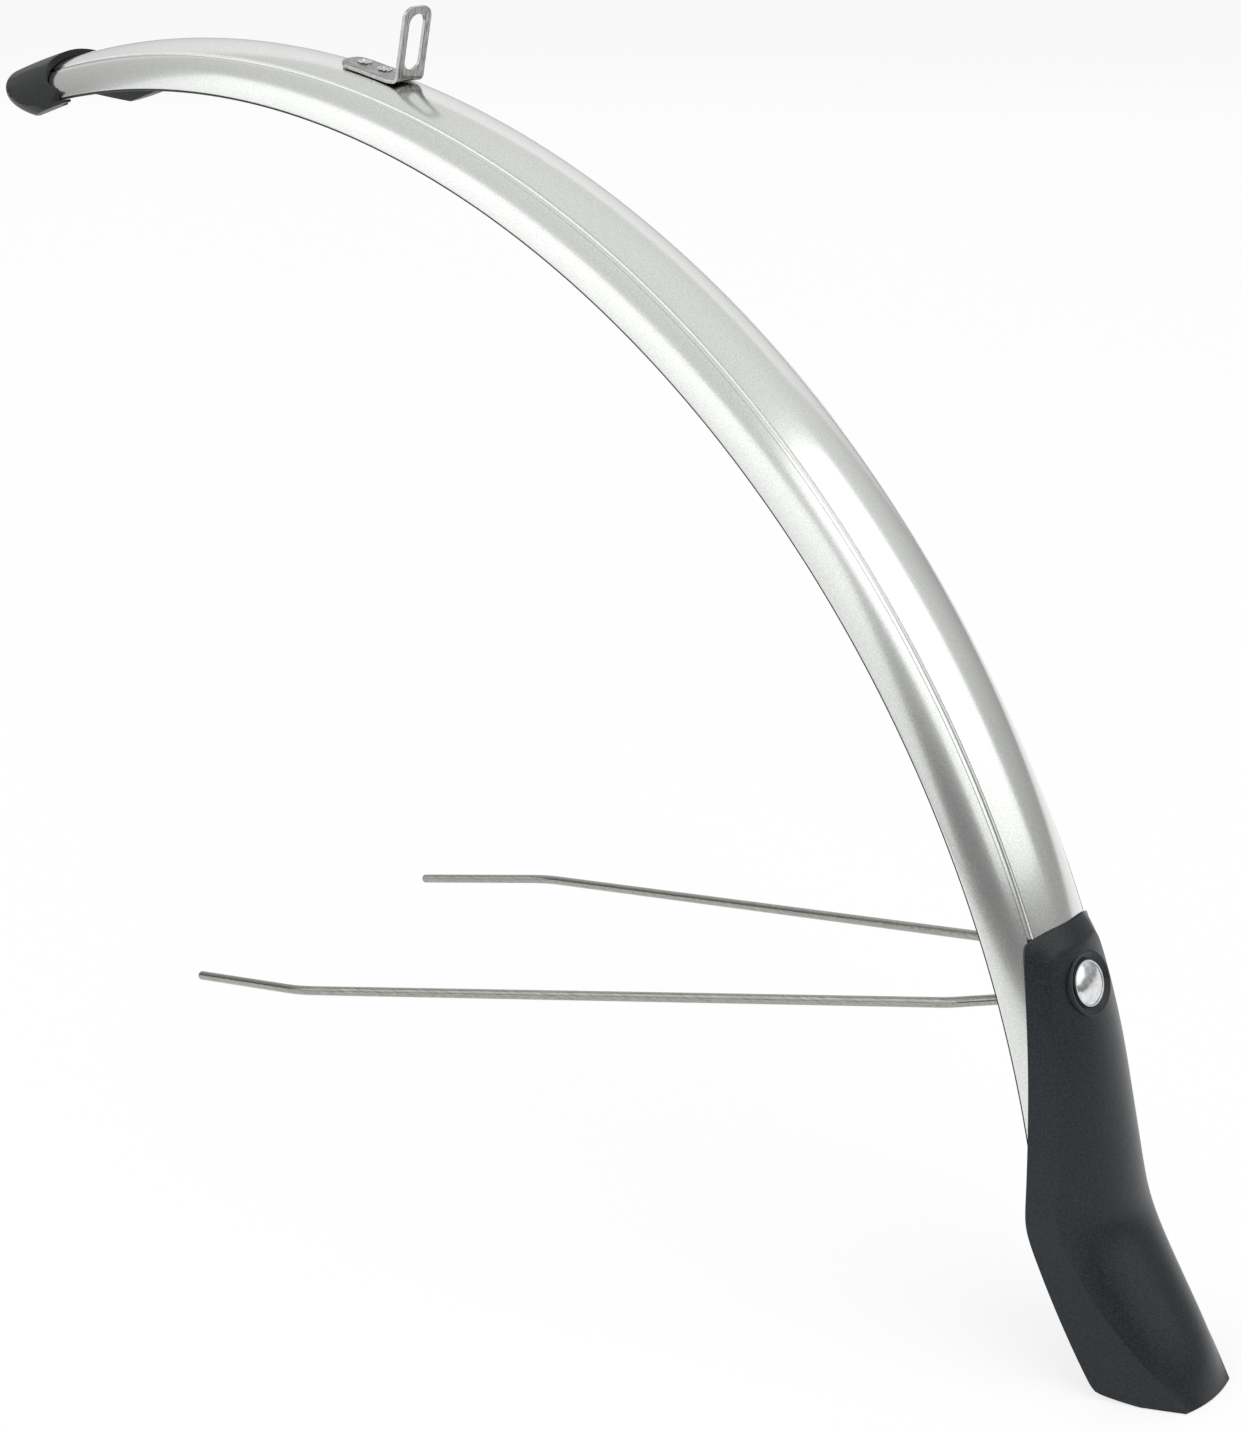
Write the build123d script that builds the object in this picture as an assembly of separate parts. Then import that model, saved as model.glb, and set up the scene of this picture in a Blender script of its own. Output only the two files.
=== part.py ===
from build123d import *
import os
from math import acos, asin, atan2, cos, degrees, hypot, radians, sin, sqrt, tan

os.makedirs("parts", exist_ok=True)

# A front mudguard for a 28 inch bicycle wheel. Lengths are in mm and angles in degrees.
# Angles along the arc start at the rearward horizontal and rise towards the front.
# +X points to the rear, +Y to the rider's right, +Z up.

# Blade: a bowed sheet with a round section and two pressed grooves.
edge_radius = 350.0
section_radius = 25.0
section_depth = 15.0
sheet = 1.0
blade_front_angle = 106.4
blade_rear_angle = 11.0
groove_offset = 13.6
groove_width = 1.6
groove_depth = 0.8

# Front tip cap: two walls that grip the blade's front end, with a slanted nose.
cap_wall = 2.3
cap_flank_wall = 1.4
cap_inner_wall = 1.5
cap_drop = 3.4
lip_drop = 1.5
cap_crease_angle = 31.0
mouth_crown_angle = 106.2
mouth_notch_angle = 106.0
mouth_side_angle = 103.8
mouth_slant = 1.2
lip_rear_angle = 102.8
nose_bottom_angle = 106.5
nose_middle_angle = 110.2
nose_middle_depth = 8.0
nose_top_angle = 112.9
nose_round = 4.0

# Fork bracket: a folded plate with a slot for the fork bolt.
bracket_angle = 81.22
bracket_width = 12.0
base_length = 27.6
upright_height = 25.0
upright_lean = 3.9
plate = 1.3
fold_radius = 1.0
plate_corner = 3.8
slot_width = 7.0
slot_length = 18.4
slot_height = 13.4

# Hollow rivets that hold the bracket.
rivet_shank = 3.2
rivet_head = 7.0
rivet_head_height = 1.0
rivet_flare = 5.0
rivet_flare_height = 0.6
rivet_bore = 2.0
rivet_chamfer = 0.4
rivet_first = 11.6
rivet_spacing = 9.5

# Stay wire: free ends, end bends and inner bends, measured from the wheel centre.
wire = 3.2
stay_end = (7.2, 56.4, 40.3)
stay_bend = (67.3, 62.1, 56.4)
stay_inner = (312.1, 25.9, 120.9)
bridge_half = 10.9
bridge_depth = 7.3
bend_round = 60.0
inner_round = 12.0
bridge_round = 5.0

# Stay eye inside the blade and the flat screw that clamps the wire in it.
eye_angle = 20.45
eye_diameter = 8.0
eye_end_wall = 1.7
screw = 4.0
screw_head = 6.4
screw_head_height = 0.9

# Mud flap: a bevelled skin on the blade, kinked below the blade's end.
flap_top_angle = 23.2
flap_skin = 1.5
flap_rim = 0.6
flap_rim_top = 9.6
flap_rim_kink = -3.4
flap_ridge_top = 14.6
flap_ridge_kink = 5.6
flap_top_bevel = 5.4
flap_corner = 2.6
flap_ridge_rise = 0.5
flap_lift = 1.5
kink_height = 57.0
kink_swell = 1.2
kink_round = 9.0
side_bulge = 2.2

# Flap below the kink, at four heights. Each has three steps to the rear, from the blade's edge
# radius to the rim, from there to the ridge and on to the crown, and two half widths.
neck_height = 48.0
neck_steps = (-4.2, 11.2, 14.4)
neck_widths = (24.4, 21.4)
middle_height = 34.0
middle_steps = (3.6, 13.8, 14.2)
middle_widths = (24.4, 19.9)
flare_height = 20.0
flare_steps = (12.4, 20.4, 8.8)
flare_widths = (24.2, 16.3)
bottom_height = 8.5
bottom_steps = (20.2, 23.4, 1.5)
bottom_widths = (23.5, 12.0)

# Badge: a low hollow dome in a round countersunk seat.
seat_diameter = 19.6
seat_rise = 0.1
seat_mouth = 17.8
seat_floor_wall = 0.6
badge_diameter = 13.7
badge_height = 2.2
badge_wall = 0.5

# Clearances: between skins that lie on each other, round shanks in holes, and threads.
seat_gap = 0.3
hole_gap = 0.1
thread_gap = 0.05

# The section's centre and the angle from its crown to a free edge follow from its sizes.
section_centre = edge_radius + section_depth - section_radius
crown = edge_radius + section_depth
edge_phi = degrees(acos((edge_radius - section_centre) / section_radius))
inner_radius = section_radius - sheet


def section_plane(angle):
    a = radians(angle)
    return Plane(origin=(0, 0, 0), x_dir=(0, 1, 0), z_dir=(sin(a), 0, -cos(a)))


def on_section(radius, phi):
    a = radians(phi)
    return (radius * sin(a), section_centre + radius * cos(a))


def along(angle, distance):
    return (distance * cos(radians(angle)), 0, distance * sin(radians(angle)))


def radial_plane(angle, distance):
    a = radians(angle)
    return Plane(origin=along(angle, distance), x_dir=(-sin(a), 0, cos(a)), z_dir=(cos(a), 0, sin(a)))


def turn(face, front, rear):
    return revolve(section_plane(front) * face, axis=Axis.Y, revolution_arc=front - rear)


def band(inner, outer, phi):
    arcs = [
        ThreePointArc(on_section(outer, phi), on_section(outer, 0), on_section(outer, -phi)),
        Line(on_section(outer, -phi), on_section(inner, -phi)),
        ThreePointArc(on_section(inner, -phi), on_section(inner, 0), on_section(inner, phi)),
        Line(on_section(inner, phi), on_section(outer, phi)),
    ]
    return make_face(arcs)


def dee(radius, bottom):
    phi = degrees(acos((bottom - section_centre) / radius))
    left = ThreePointArc(on_section(radius, phi), on_section(radius, phi / 2), on_section(radius, 0))
    right = ThreePointArc(on_section(radius, 0), on_section(radius, -phi / 2), on_section(radius, -phi))
    return make_face([left, right, Line(on_section(radius, -phi), on_section(radius, phi))])


# Blade. Each groove is pressed into the sheet, so the inside shows it as a bead.
groove_phi = degrees(asin(groove_offset / section_radius))


def skin_line(radius, groove_half):
    d = degrees(groove_half / radius)
    half = [edge_phi, groove_phi + d, groove_phi - d]
    stops = half + [0] + [-phi for phi in reversed(half)]
    dips = [0, groove_depth, 0, 0, groove_depth, 0]
    arcs = []
    for start, end, dip in zip(stops, stops[1:], dips):
        middle = on_section(radius - dip, (start + end) / 2)
        arcs.append(ThreePointArc(on_section(radius, start), middle, on_section(radius, end)))
    return arcs


blade_face = make_face(
    skin_line(section_radius, groove_width / 2)
    + [Line(on_section(section_radius, -edge_phi), on_section(inner_radius, -edge_phi))]
    + skin_line(inner_radius, groove_width / 2 + sheet * 0.6)
    + [Line(on_section(inner_radius, edge_phi), on_section(section_radius, edge_phi))]
)
blade = turn(blade_face, blade_front_angle, blade_rear_angle)

# Bracket, in a frame that lies on the crown under the base: x forward, z away from the wheel.
base_plane = radial_plane(bracket_angle, crown + seat_gap)
lean = radians(upright_lean)
back = -base_length / 2
heel = (back, 0)
top_back = (back - upright_height * sin(lean), upright_height * cos(lean))
top_front = (top_back[0] + plate * cos(lean), top_back[1] + plate * sin(lean))
inner_heel_x = back + plate / cos(lean) - plate * tan(lean)
fold = make_face(
    Polyline(
        (base_length / 2, 0),
        heel,
        top_back,
        top_front,
        (inner_heel_x, plate),
        (base_length / 2, plate),
        close=True,
    )
)
corners = fold.vertices()
fold = fillet(corners.sort_by_distance((inner_heel_x, plate))[0], fold_radius)
fold = fillet(fold.vertices().sort_by_distance(heel)[0], fold_radius + plate)
bracket = extrude(Plane.XZ * fold, amount=bracket_width / 2, both=True)
upright_plane = Plane(
    origin=(back + plate / 2, 0, 0),
    x_dir=(0, 1, 0),
    z_dir=(cos(lean), 0, sin(lean)),
)
slot_tool = extrude(
    upright_plane * Pos(0, slot_height, 0) * SlotOverall(slot_length, slot_width, rotation=90),
    amount=2 * plate,
    both=True,
)
bracket -= slot_tool
rivet_x = [back + rivet_first, back + rivet_first + rivet_spacing]
rivet_hole = Cylinder(rivet_shank / 2 + hole_gap, 8 * plate)
for x in rivet_x:
    bracket -= Pos(x, 0, 0) * rivet_hole
front_corners = bracket.edges().filter_by(Axis.Z).sort_by(Axis.X)[-2:]
bracket = fillet(front_corners, plate_corner)
top_corners = []
for edge in bracket.edges().sort_by(Axis.Z)[-8:]:
    at_side = abs(abs(edge.center().Y) - bracket_width / 2) < 0.01
    if at_side and edge.length < 2 * plate:
        top_corners.append(edge)
bracket = fillet(top_corners, plate_corner)
bracket = base_plane * bracket

# Rivets: a flat head inside the blade, a tube through both sheets and a rolled flare on the base.
head_top = -seat_gap - sheet - rivet_head**2 / 8 / inner_radius - seat_gap
flare_profile = make_face(
    Polyline(
        (0, head_top - rivet_head_height),
        (rivet_head / 2 - rivet_chamfer, head_top - rivet_head_height),
        (rivet_head / 2, head_top - rivet_head_height + rivet_chamfer),
        (rivet_head / 2, head_top),
        (rivet_shank / 2, head_top),
        (rivet_shank / 2, plate),
        (rivet_flare / 2, plate),
        (rivet_flare / 2, plate + rivet_flare_height * 0.5),
        (rivet_flare / 2 - rivet_chamfer, plate + rivet_flare_height),
        (rivet_bore / 2 + rivet_chamfer, plate + rivet_flare_height),
        (rivet_bore / 2, plate + rivet_flare_height - rivet_chamfer),
        (rivet_bore / 2, head_top + rivet_chamfer),
        (0, head_top + rivet_chamfer),
        close=True,
    )
)
rivet = revolve(Plane.XZ * flare_profile, axis=Axis.Z)
rivets = [base_plane * Pos(x, 0, 0) * rivet for x in rivet_x]
for x in rivet_x:
    blade -= base_plane * Pos(x, 0, 0) * rivet_hole

# Tip cap: hollow below, with a slot between its walls for the blade's end. A crease along
# each side parts the rounded top from the flatter flank.
slot_outer = section_radius + seat_gap
slot_inner = inner_radius - groove_depth - seat_gap
cap_radius = slot_outer + cap_wall
cap_inside = slot_inner - cap_inner_wall
rim_radius = edge_radius - cap_drop
cap_rim = degrees(acos((rim_radius - section_centre) / cap_radius))
flank_phi = (cap_crease_angle + cap_rim) / 2
flank_radius = slot_outer + cap_flank_wall


def side_point(angle, distance):
    x, _, z = along(angle, distance)
    return (x, z)


nose_line = ThreePointArc(
    side_point(nose_bottom_angle, rim_radius),
    side_point(nose_middle_angle, crown - nose_middle_depth),
    side_point(nose_top_angle, crown + 2 * cap_wall),
)
nose_side = make_face(
    [
        nose_line,
        Polyline(
            side_point(nose_top_angle, crown + 2 * cap_wall),
            side_point(nose_top_angle, crown + 5 * cap_wall),
            side_point(lip_rear_angle - 3, crown + 5 * cap_wall),
            side_point(lip_rear_angle - 3, rim_radius - 3 * cap_wall),
            side_point(nose_bottom_angle - 1, rim_radius - 3 * cap_wall),
            side_point(nose_bottom_angle, rim_radius),
        ),
    ]
)
nose_keep = extrude(Plane.XZ * nose_side, amount=2 * section_radius, both=True)
cap = turn(dee(cap_radius, rim_radius), nose_top_angle + 4, lip_rear_angle) & nose_keep
nose_edge = []
for edge in cap.edges():
    middle = edge @ 0.5
    angle = degrees(atan2(middle.Z, middle.X))
    if angle > nose_bottom_angle + 0.5 and hypot(middle.X, middle.Z) > rim_radius + cap_wall:
        nose_edge.append(edge)
cap = fillet(nose_edge, nose_round)
for side in (1, -1):
    flank = make_face(
        [
            ThreePointArc(
                on_section(cap_radius, side * cap_rim),
                on_section(flank_radius, side * flank_phi),
                on_section(cap_radius, side * cap_crease_angle),
            ),
            Polyline(
                on_section(cap_radius, side * cap_crease_angle),
                on_section(2 * cap_radius, side * cap_crease_angle),
                on_section(3 * cap_radius, side * flank_phi),
                on_section(2 * cap_radius, side * cap_rim),
                on_section(cap_radius, side * cap_rim),
            ),
        ]
    )
    cap -= turn(flank, nose_top_angle + 4, lip_rear_angle - 1)
cap -= turn(dee(cap_inside, rim_radius - cap_wall), nose_top_angle + 4, lip_rear_angle - 1)
edge_gap_phi = degrees(seat_gap / section_radius)
slot_front = blade_front_angle + degrees(seat_gap / edge_radius)
cap -= turn(band(slot_inner, slot_outer, edge_phi + edge_gap_phi), slot_front, lip_rear_angle - 1)

# The rim rises a little from the nose to the end of the lips.
rim_cut = make_face(
    Polyline(
        side_point(nose_bottom_angle, rim_radius),
        side_point(lip_rear_angle, edge_radius - lip_drop),
        side_point(lip_rear_angle - 3, edge_radius - lip_drop),
        side_point(lip_rear_angle - 3, rim_radius - 3 * cap_wall),
        side_point(nose_bottom_angle, rim_radius - 3 * cap_wall),
        close=True,
    )
)
cap -= extrude(Plane.XZ * rim_cut, amount=2 * section_radius, both=True)

# The mouth dips towards the tip at each groove. Below the blade's edges the rim runs on
# further back as a lip on each side.
mouth_y = on_section(section_radius, edge_phi)[0]


def mouth_point(angle, y):
    return (radians(angle - mouth_notch_angle) * crown, y)


mouth_far = mouth_point(lip_rear_angle - 3, 0)[0]
mouth_out = mouth_point(mouth_side_angle, 0)[0] + mouth_slant * (2 * section_radius - mouth_y)
mouth_wide = 2 * section_radius
mouth_line = Spline(
    mouth_point(mouth_side_angle, -mouth_y),
    mouth_point(mouth_notch_angle, -groove_offset),
    mouth_point(mouth_crown_angle, 0),
    mouth_point(mouth_notch_angle, groove_offset),
    mouth_point(mouth_side_angle, mouth_y),
)
mouth_face = make_face(
    [
        mouth_line,
        Line(mouth_line @ 1, (mouth_out, mouth_wide)),
        Line((mouth_out, mouth_wide), (mouth_far, mouth_wide)),
        Line((mouth_far, mouth_wide), (mouth_far, -mouth_wide)),
        Line((mouth_far, -mouth_wide), (mouth_out, -mouth_wide)),
        Line((mouth_out, -mouth_wide), mouth_line @ 0),
    ]
)
mouth_plane = radial_plane(mouth_notch_angle, section_centre - section_radius)
mouth_tool = extrude(mouth_plane * mouth_face, amount=4 * section_radius)
mouth_tool -= Rot(90, 0, 0) * Cylinder(edge_radius - 2 * seat_gap, 5 * section_radius)
cap -= mouth_tool
lip_gap = Pos(0, edge_radius - 2 * cap_drop) * Rectangle(2 * mouth_y, 4 * cap_drop)
cap -= turn(lip_gap, mouth_side_angle, lip_rear_angle - 1)

# Stay wire: one round wire, its bridge lies across the inside of the crown.
bridge_radius = crown - sheet - bridge_depth
bridge_x, _, bridge_z = along(eye_angle, bridge_radius)
bridge_corner = (bridge_x, bridge_half, bridge_z)


def mirrored(point):
    return (point[0], -point[1], point[2])


stops = [mirrored(p) for p in (stay_end, stay_bend, stay_inner, bridge_corner)]
stops += [bridge_corner, stay_inner, stay_bend, stay_end]
rounds = [bend_round, inner_round, bridge_round, bridge_round, inner_round, bend_round]
line_start = Vector(*stops[0])
path = []
for before, corner, after, r in zip(stops, stops[1:], stops[2:], rounds):
    corner = Vector(*corner)
    u = (Vector(*before) - corner).normalized()
    v = (Vector(*after) - corner).normalized()
    half = radians(u.get_angle(v)) / 2
    enter = corner + u * (r / tan(half))
    leave = corner + v * (r / tan(half))
    middle = corner + (u + v).normalized() * (r / sin(half) - r)
    path.append(Line(line_start, enter))
    path.append(ThreePointArc(enter, middle, leave))
    line_start = leave
path.append(Line(line_start, Vector(*stops[-1])))
wire_path = Wire(path)
wire_start = Plane(origin=wire_path @ 0, z_dir=wire_path % 0)
stay = sweep(wire_start * Circle(wire / 2), path=wire_path)
end_edges = stay.edges().filter_by(GeomType.CIRCLE).sort_by(Axis.X)[:2]
stay = fillet(end_edges, wire * 0.4)

# Stay eye: a round block inside the blade, cross-drilled for the wire's bridge and tapped
# from above for the screw, whose flat head lies on the floor of the badge's seat.
eye_top = crown - sheet - eye_diameter**2 / 8 / inner_radius - seat_gap
eye_bottom = bridge_radius - wire / 2 - eye_end_wall
flap_radius = section_radius + seat_gap
flap_outer = flap_radius + flap_skin
flap_crown = section_centre + flap_outer
seat_floor = section_centre + flap_radius + seat_floor_wall
screw_tip = bridge_radius + wire / 2 + hole_gap
eye_plane = radial_plane(eye_angle, 0)
eye = Pos(0, 0, (eye_top + eye_bottom) / 2) * Cylinder(eye_diameter / 2, eye_top - eye_bottom)
eye -= Pos(0, 0, bridge_radius) * Rot(90, 0, 0) * Cylinder(wire / 2 + hole_gap, 2 * eye_diameter)
tap_middle = (eye_top + bridge_radius) / 2
eye -= Pos(0, 0, tap_middle) * Cylinder(screw / 2 + thread_gap, eye_top - bridge_radius)
eye = eye_plane * eye
shank = Pos(0, 0, (seat_floor + screw_tip) / 2) * Cylinder(screw / 2, seat_floor - screw_tip)
head = Pos(0, 0, seat_floor + screw_head_height / 2) * Cylinder(screw_head / 2, screw_head_height)
stay_screw = eye_plane * (shank + head)
screw_hole = Pos(0, 0, crown) * Cylinder(screw / 2 + hole_gap, 4 * sheet + 2 * flap_skin)
blade -= eye_plane * screw_hole

# Flap, upper part: sections across the blade. The rim and the ridge sink towards the wheel
# on the way down, so the flap grows wider.
kink_angle = degrees(asin(kink_height / (edge_radius + flap_rim_kink)))


def share(angle):
    return (angle - kink_angle) / (flap_top_angle - kink_angle)


def rim_phi(angle):
    rise = flap_rim_kink + (flap_rim_top - flap_rim_kink) * share(angle)
    return degrees(acos((edge_radius + rise - section_centre) / flap_radius))


def ridge_phi(angle):
    rise = flap_ridge_kink + (flap_ridge_top - flap_ridge_kink) * share(angle)
    return degrees(acos((edge_radius + rise - section_centre) / flap_outer))


def ring_arc(place, radius, start, end):
    points = [place(radius, start), place(radius, (start + end) / 2), place(radius, end)]
    return ThreePointArc(*points)


def skin_section(place, outer, rise, hollow, ridge, rim):
    rim_outer = flap_radius + flap_rim
    ridge_outer = outer + rise
    back = [place(ridge_outer, ridge), place(outer, 0), place(ridge_outer, -ridge)]
    belly = [place(flap_radius, -ridge), place(flap_radius + hollow, 0), place(flap_radius, ridge)]
    return make_face(
        [
            Line(place(rim_outer, rim), back[0]),
            ThreePointArc(*back),
            Line(back[2], place(rim_outer, -rim)),
            Line(place(rim_outer, -rim), place(flap_radius, -rim)),
            ring_arc(place, flap_radius, -rim, -ridge),
            ThreePointArc(*belly),
            ring_arc(place, flap_radius, ridge, rim),
            Line(place(flap_radius, rim), place(rim_outer, rim)),
        ]
    )


def lift(angle):
    return flap_lift * (1 - share(angle)) ** 2


def at_angle(angle, outer, rise, narrow):
    rim = rim_phi(angle) - degrees(narrow / flap_radius)
    ridge = ridge_phi(angle) - degrees(narrow / flap_radius)
    return section_plane(angle) * skin_section(on_section, outer, rise, 0, ridge, rim)


def at_level(height, swell, hollow):
    def on_level(radius, phi):
        y, distance = on_section(radius, phi)
        return (sqrt(distance**2 - height**2), y)

    angle = degrees(asin(height / (edge_radius + flap_rim_kink)))
    outer = flap_outer + lift(angle) + swell
    return Pos(0, 0, height) * skin_section(on_level, outer, 0, hollow, ridge_phi(angle), rim_phi(angle))


bevel_angle = degrees(flap_top_bevel / crown)
corner_angle = degrees(flap_corner / crown)
bevel_start = flap_top_angle - bevel_angle
half_way = flap_rim + (flap_skin - flap_rim) * flap_corner / flap_top_bevel
edge_section = at_angle(flap_top_angle, flap_radius + flap_rim * 1.1, 0, flap_corner)
corner_section = at_angle(flap_top_angle - corner_angle, flap_radius + half_way, 0, 0)
upper = []
for way in (0, 0.28, 0.56):
    angle = bevel_start + (kink_angle - bevel_start) * way
    upper.append(at_angle(angle, flap_outer + lift(angle), flap_ridge_rise * (1 - way), 0))
upper.append(at_level(kink_height + kink_round, 0, 0))
kink = at_level(kink_height, kink_swell, flap_lift)


# Flap, lower part: level sections from the kink to the bottom edge.
def level_section(height, steps, widths):
    thin = flap_skin
    x_rim = edge_radius + steps[0]
    x_ridge = x_rim + steps[1]
    crown_x = x_ridge + steps[2]
    y_rim, y_ridge = widths
    run = hypot(x_ridge - x_rim, y_ridge - y_rim)
    out_x = (y_rim - y_ridge) / run
    out_y = (x_ridge - x_rim) / run
    bulge_x = (x_rim + x_ridge) / 2 + side_bulge * out_x
    bulge_y = (y_rim + y_ridge) / 2 + side_bulge * out_y
    rim_in = y_rim - flap_rim * 2
    ridge_in = (x_ridge - thin, y_ridge - thin * 0.8)
    bulge_in = (bulge_x - thin * out_x, bulge_y - thin * out_y)
    face = make_face(
        [
            ThreePointArc((x_rim, y_rim), (bulge_x, bulge_y), (x_ridge, y_ridge)),
            ThreePointArc((x_ridge, y_ridge), (crown_x, 0), (x_ridge, -y_ridge)),
            ThreePointArc((x_ridge, -y_ridge), (bulge_x, -bulge_y), (x_rim, -y_rim)),
            Line((x_rim, -y_rim), (x_rim, -rim_in)),
            ThreePointArc((x_rim, -rim_in), (bulge_in[0], -bulge_in[1]), (ridge_in[0], -ridge_in[1])),
            ThreePointArc((ridge_in[0], -ridge_in[1]), (crown_x - thin, 0), ridge_in),
            ThreePointArc(ridge_in, bulge_in, (x_rim, rim_in)),
            Line((x_rim, rim_in), (x_rim, y_rim)),
        ]
    )
    return Pos(0, 0, height) * face


lower = [
    level_section(neck_height, neck_steps, neck_widths),
    level_section(middle_height, middle_steps, middle_widths),
    level_section(flare_height, flare_steps, flare_widths),
    level_section(bottom_height, bottom_steps, bottom_widths),
]
flap = loft([edge_section, corner_section], ruled=True)
flap += loft([corner_section, upper[0]], ruled=True)
flap += loft(upper)
flap += loft([upper[-1], kink, lower[0]])
flap += loft(lower)

# Round seat for the badge: a raised rim with a countersunk mouth and a flat floor.
seat_top = flap_crown + seat_rise
seat = Pos(0, 0, (seat_top + section_centre) / 2) * Cylinder(seat_diameter / 2, seat_top - section_centre)
seat = eye_plane * seat
seat -= turn(dee(flap_radius, edge_radius - section_depth), flap_top_angle + 5, kink_angle)
flap += seat
floor_radius = badge_diameter / 2 + seat_gap
seat_depth = seat_top - seat_floor
sink = Pos(0, 0, (seat_top + seat_floor) / 2) * Cone(floor_radius, seat_mouth / 2, seat_depth)
flap -= eye_plane * sink
flap -= eye_plane * screw_hole

# Badge: a plain hollow dome that stands on the floor of the seat over the screw's head.
dome_radius = (badge_diameter**2 / 4 + badge_height**2) / (2 * badge_height)
dome_centre = seat_floor + badge_height - dome_radius
dome = Pos(0, 0, dome_centre) * Sphere(dome_radius)
dome -= Pos(0, 0, dome_centre) * Sphere(dome_radius - badge_wall)
dome = split(dome, Plane(origin=(0, 0, seat_floor), z_dir=(0, 0, 1)), keep=Keep.TOP)
badge = eye_plane * dome

# The part's origin is the middle of the bracket's slot.
slot_middle = base_plane.location * upright_plane.location * Pos(0, slot_height, 0)
origin = slot_middle.position
move = Pos(-origin.X, -origin.Y, -origin.Z)

pieces = {
    "guard_blade": blade,
    "front_tip_cap": cap,
    "fork_bracket": bracket,
    "bracket_rivets": Compound(rivets),
    "stay_wire": stay,
    "stay_eye": eye,
    "stay_screw": stay_screw,
    "mud_flap": flap,
    "flap_badge": badge,
}
for name, piece in pieces.items():
    export_step(move * piece, "parts/" + name + ".step")
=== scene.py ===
from math import acos, asin, atan2, cos, pi, radians, sin

import bmesh
import bpy
from mathutils import Matrix, Vector


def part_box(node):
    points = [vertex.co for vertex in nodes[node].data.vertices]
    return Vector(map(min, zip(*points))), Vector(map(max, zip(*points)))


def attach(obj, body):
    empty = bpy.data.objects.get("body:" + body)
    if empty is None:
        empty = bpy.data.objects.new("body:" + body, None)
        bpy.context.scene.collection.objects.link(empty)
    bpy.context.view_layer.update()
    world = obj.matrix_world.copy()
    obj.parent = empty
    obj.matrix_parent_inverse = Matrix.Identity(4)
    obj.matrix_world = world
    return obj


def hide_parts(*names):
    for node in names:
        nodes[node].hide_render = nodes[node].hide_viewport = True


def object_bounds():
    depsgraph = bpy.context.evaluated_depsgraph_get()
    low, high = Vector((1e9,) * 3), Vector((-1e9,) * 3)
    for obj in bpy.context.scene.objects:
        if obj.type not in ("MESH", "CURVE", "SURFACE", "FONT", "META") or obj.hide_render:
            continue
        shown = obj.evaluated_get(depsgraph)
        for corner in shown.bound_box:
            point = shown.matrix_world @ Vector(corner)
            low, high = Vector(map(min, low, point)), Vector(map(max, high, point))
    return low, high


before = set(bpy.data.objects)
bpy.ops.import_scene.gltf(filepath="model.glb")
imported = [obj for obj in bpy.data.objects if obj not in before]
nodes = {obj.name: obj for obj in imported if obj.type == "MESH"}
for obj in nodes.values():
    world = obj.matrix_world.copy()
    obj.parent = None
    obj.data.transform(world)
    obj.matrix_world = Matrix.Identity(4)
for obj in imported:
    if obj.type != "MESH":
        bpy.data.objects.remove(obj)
cad_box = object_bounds()

# Guard blade: one long strip of sheet, silver faced over a dark core and lacquered, rolled to a bow
# over the wheel. Its section is a shallow arc, a groove pressed along each side stiffens it, and
# its two free edges are rounded off, so that the core shows there.
edge_radius = 0.350
section_radius = 0.025
section_depth = 0.015
section_points = 180
sheet = 0.001
edge_round = 0.0005
narrowest_strip = 0.0006
blade_front = radians(106.4)
blade_rear = radians(11.0)
blade_steps = 120
groove_offset = 0.0136
groove_half = 0.0011
groove_depth = 0.0008
groove_cuts = 5
hair = 1e-6
near = 1e-5
crown_radius = edge_radius + section_depth
section_centre = crown_radius - section_radius
blade_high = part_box("guard_blade")[1]
wheel = Vector((blade_high.x - crown_radius * cos(blade_rear), 0, blade_high.z - crown_radius))


def radial(angle):
    """The direction away from the wheel's centre at this angle above the rear."""
    return Vector((cos(angle), 0, sin(angle)))


def across(angle):
    """Turns the XY plane upright across the blade: x to +Y, y away from the wheel."""
    out = radial(angle)
    side = Vector((0, 1, 0))
    return Matrix((side, out, side.cross(out))).transposed().to_euler()


def choose(*pieces):
    """Selects these pieces alone, with the first one active."""
    bpy.ops.object.select_all(action="DESELECT")
    bpy.context.view_layer.objects.active = pieces[0]
    for piece in pieces:
        piece.select_set(True)


def edit(piece):
    choose(piece)
    bpy.ops.object.mode_set(mode="EDIT")


def close_edit():
    bpy.ops.object.mode_set(mode="OBJECT")


def pick(piece, kind, test):
    """Selects the vertices, edges or faces whose middle passes the test."""
    bpy.ops.mesh.select_mode(type=kind)
    bpy.ops.mesh.select_all(action="DESELECT")
    mesh = bmesh.from_edit_mesh(piece.data)
    if kind == "VERT":
        for vertex in mesh.verts:
            vertex.select = test(vertex.co)
    elif kind == "EDGE":
        for edge in mesh.edges:
            edge.select = test((edge.verts[0].co + edge.verts[1].co) / 2)
    else:
        for face in mesh.faces:
            face.select = test(face.calc_center_median())
    mesh.select_flush_mode()
    bmesh.update_edit_mesh(piece.data)


def face_out(piece, score, out):
    """Turns all faces alike, so that the face whose middle scores highest looks outwards."""
    edit(piece)
    bpy.ops.mesh.select_all(action="SELECT")
    bpy.ops.mesh.normals_make_consistent(inside=False)
    close_edit()
    best = max(piece.data.polygons, key=lambda face: score(face.center))
    if best.normal.dot(out) < 0:
        edit(piece)
        bpy.ops.mesh.select_all(action="SELECT")
        bpy.ops.mesh.flip_normals()
        close_edit()


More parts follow.
